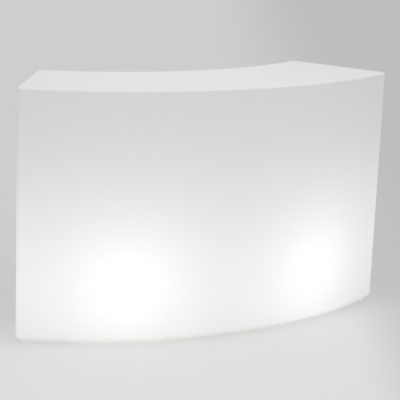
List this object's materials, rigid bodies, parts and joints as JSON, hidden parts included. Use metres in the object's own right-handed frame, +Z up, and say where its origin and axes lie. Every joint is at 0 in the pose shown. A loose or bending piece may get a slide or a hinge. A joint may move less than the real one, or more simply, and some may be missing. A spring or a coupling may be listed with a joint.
{
  "type": "bar counter",
  "caption": "Curved, internally lit moulded bar counter with a flat worktop and open bays with lift-out shelves on the operator's side.",
  "frame": {"origin": "on the floor, in the middle of the counter's bounding box", "axes": "+Z up; the customers' convex side faces -Y, the open bays face +Y; +X to the right seen by a customer"},
  "size_m": [1.7852, 0.6668, 1.1],
  "materials": {
    "moulded_shell": "satin, translucent rotationally moulded polyethylene, lit from inside",
    "shelf_laminate": "satin solid laminate with a dark core",
    "foot_nylon": "moulded nylon",
    "zinc_steel": "zinc plated",
    "brass": "turned",
    "strap_steel": "galvanised strip",
    "cover_plastic": "moulded, fine grain",
    "rubber_seal": "matt",
    "holder_plastic": "moulded",
    "holder_ceramic": "unglazed",
    "bulb_metal": "rolled thread",
    "bulb_plastic": "moulded",
    "bulb_opal": "opal",
    "gland_nylon": "moulded nylon"
  },
  "bodies": {
    "counter": {"counter_shell": "moulded_shell", "foot_inserts": "brass", "left_bracket_screws": "zinc_steel", "left_bulb_base": "bulb_plastic", "left_bulb_cap": "bulb_metal", "left_bulb_globe": "bulb_opal", "left_cover_gasket": "rubber_seal", "left_cover_inserts": "brass", "left_cover_screws": "zinc_steel", "left_gland_body": "gland_nylon", "left_gland_dome": "gland_nylon", "left_gland_nut": "gland_nylon", "left_gland_seal": "rubber_seal", "left_gland_stopper": "gland_nylon", "left_holder_block": "holder_ceramic", "left_holder_body": "holder_plastic", "left_holder_contact": "brass", "left_holder_nipple": "zinc_steel", "left_holder_thread": "brass", "left_lamp_bracket": "strap_steel", "left_lamp_cover": "cover_plastic", "right_bracket_screws": "zinc_steel", "right_bulb_base": "bulb_plastic", "right_bulb_cap": "bulb_metal", "right_bulb_globe": "bulb_opal", "right_cover_gasket": "rubber_seal", "right_cover_inserts": "brass", "right_cover_screws": "zinc_steel", "right_gland_body": "gland_nylon", "right_gland_dome": "gland_nylon", "right_gland_nut": "gland_nylon", "right_gland_seal": "rubber_seal", "right_gland_stopper": "gland_nylon", "right_holder_block": "holder_ceramic", "right_holder_body": "holder_plastic", "right_holder_contact": "brass", "right_holder_nipple": "zinc_steel", "right_holder_thread": "brass", "right_lamp_bracket": "strap_steel", "right_lamp_cover": "cover_plastic"},
    "shelf_left_lower": {"shelf_left_lower": "shelf_laminate"},
    "shelf_left_upper": {"shelf_left_upper": "shelf_laminate"},
    "shelf_right_lower": {"shelf_right_lower": "shelf_laminate"},
    "shelf_right_upper": {"shelf_right_upper": "shelf_laminate"},
    "foot_pad_front_left": {"foot_pad_front_left": "foot_nylon"},
    "foot_stem_front_left": {"foot_stem_front_left": "zinc_steel"},
    "foot_pad_front_middle": {"foot_pad_front_middle": "foot_nylon"},
    "foot_stem_front_middle": {"foot_stem_front_middle": "zinc_steel"},
    "foot_pad_front_right": {"foot_pad_front_right": "foot_nylon"},
    "foot_stem_front_right": {"foot_stem_front_right": "zinc_steel"},
    "foot_pad_rear_left": {"foot_pad_rear_left": "foot_nylon"},
    "foot_stem_rear_left": {"foot_stem_rear_left": "zinc_steel"},
    "foot_pad_rear_middle": {"foot_pad_rear_middle": "foot_nylon"},
    "foot_stem_rear_middle": {"foot_stem_rear_middle": "zinc_steel"},
    "foot_pad_rear_right": {"foot_pad_rear_right": "foot_nylon"},
    "foot_stem_rear_right": {"foot_stem_rear_right": "zinc_steel"}
  },
  "joints": [
    {"name": "shelf_left_lower_slide", "type": "slide", "parent": "counter", "child": "shelf_left_lower", "axis": [0, 1, 0], "range_m": [0, 0.5]},
    {"name": "shelf_left_upper_slide", "type": "slide", "parent": "counter", "child": "shelf_left_upper", "axis": [0, 1, 0], "range_m": [0, 0.5]},
    {"name": "shelf_right_lower_slide", "type": "slide", "parent": "counter", "child": "shelf_right_lower", "axis": [0, 1, 0], "range_m": [0, 0.5]},
    {"name": "shelf_right_upper_slide", "type": "slide", "parent": "counter", "child": "shelf_right_upper", "axis": [0, 1, 0], "range_m": [0, 0.5]},
    {"name": "foot_front_left_travel", "type": "slide", "parent": "counter", "child": "foot_pad_front_left", "axis": [0, 0, -1], "range_m": [0, 0.015]},
    {"name": "foot_front_left_screw", "type": "hinge", "parent": "foot_pad_front_left", "child": "foot_stem_front_left", "pos_m": [-0.70284, -0.11211, 0.01], "axis": [0, 0, -1], "range_deg": [0, 3600]},
    {"name": "foot_front_middle_travel", "type": "slide", "parent": "counter", "child": "foot_pad_front_middle", "axis": [0, 0, -1], "range_m": [0, 0.015]},
    {"name": "foot_front_middle_screw", "type": "hinge", "parent": "foot_pad_front_middle", "child": "foot_stem_front_middle", "pos_m": [0, -0.2615, 0.01], "axis": [0, 0, -1], "range_deg": [0, 3600]},
    {"name": "foot_front_right_travel", "type": "slide", "parent": "counter", "child": "foot_pad_front_right", "axis": [0, 0, -1], "range_m": [0, 0.015]},
    {"name": "foot_front_right_screw", "type": "hinge", "parent": "foot_pad_front_right", "child": "foot_stem_front_right", "pos_m": [0.70284, -0.11211, 0.01], "axis": [0, 0, -1], "range_deg": [0, 3600]},
    {"name": "foot_rear_left_travel", "type": "slide", "parent": "counter", "child": "foot_pad_rear_left", "axis": [0, 0, -1], "range_m": [0, 0.015]},
    {"name": "foot_rear_left_screw", "type": "hinge", "parent": "foot_pad_rear_left", "child": "foot_stem_rear_left", "pos_m": [-0.55723, 0.21494, 0.01], "axis": [0, 0, -1], "range_deg": [0, 3600]},
    {"name": "foot_rear_middle_travel", "type": "slide", "parent": "counter", "child": "foot_pad_rear_middle", "axis": [0, 0, -1], "range_m": [0, 0.015]},
    {"name": "foot_rear_middle_screw", "type": "hinge", "parent": "foot_pad_rear_middle", "child": "foot_stem_rear_middle", "pos_m": [0, 0.09649, 0.01], "axis": [0, 0, -1], "range_deg": [0, 3600]},
    {"name": "foot_rear_right_travel", "type": "slide", "parent": "counter", "child": "foot_pad_rear_right", "axis": [0, 0, -1], "range_m": [0, 0.015]},
    {"name": "foot_rear_right_screw", "type": "hinge", "parent": "foot_pad_rear_right", "child": "foot_stem_rear_right", "pos_m": [0.55723, 0.21494, 0.01], "axis": [0, 0, -1], "range_deg": [0, 3600]}
  ],
  "couplings": [
    {"joint": "foot_front_left_screw", "follows": "foot_front_left_travel", "rad_per_m": 4188.8},
    {"joint": "foot_front_middle_screw", "follows": "foot_front_middle_travel", "rad_per_m": 4188.8},
    {"joint": "foot_front_right_screw", "follows": "foot_front_right_travel", "rad_per_m": 4188.8},
    {"joint": "foot_rear_left_screw", "follows": "foot_rear_left_travel", "rad_per_m": 4188.8},
    {"joint": "foot_rear_middle_screw", "follows": "foot_rear_middle_travel", "rad_per_m": 4188.8},
    {"joint": "foot_rear_right_screw", "follows": "foot_rear_right_travel", "rad_per_m": 4188.8}
  ]
}
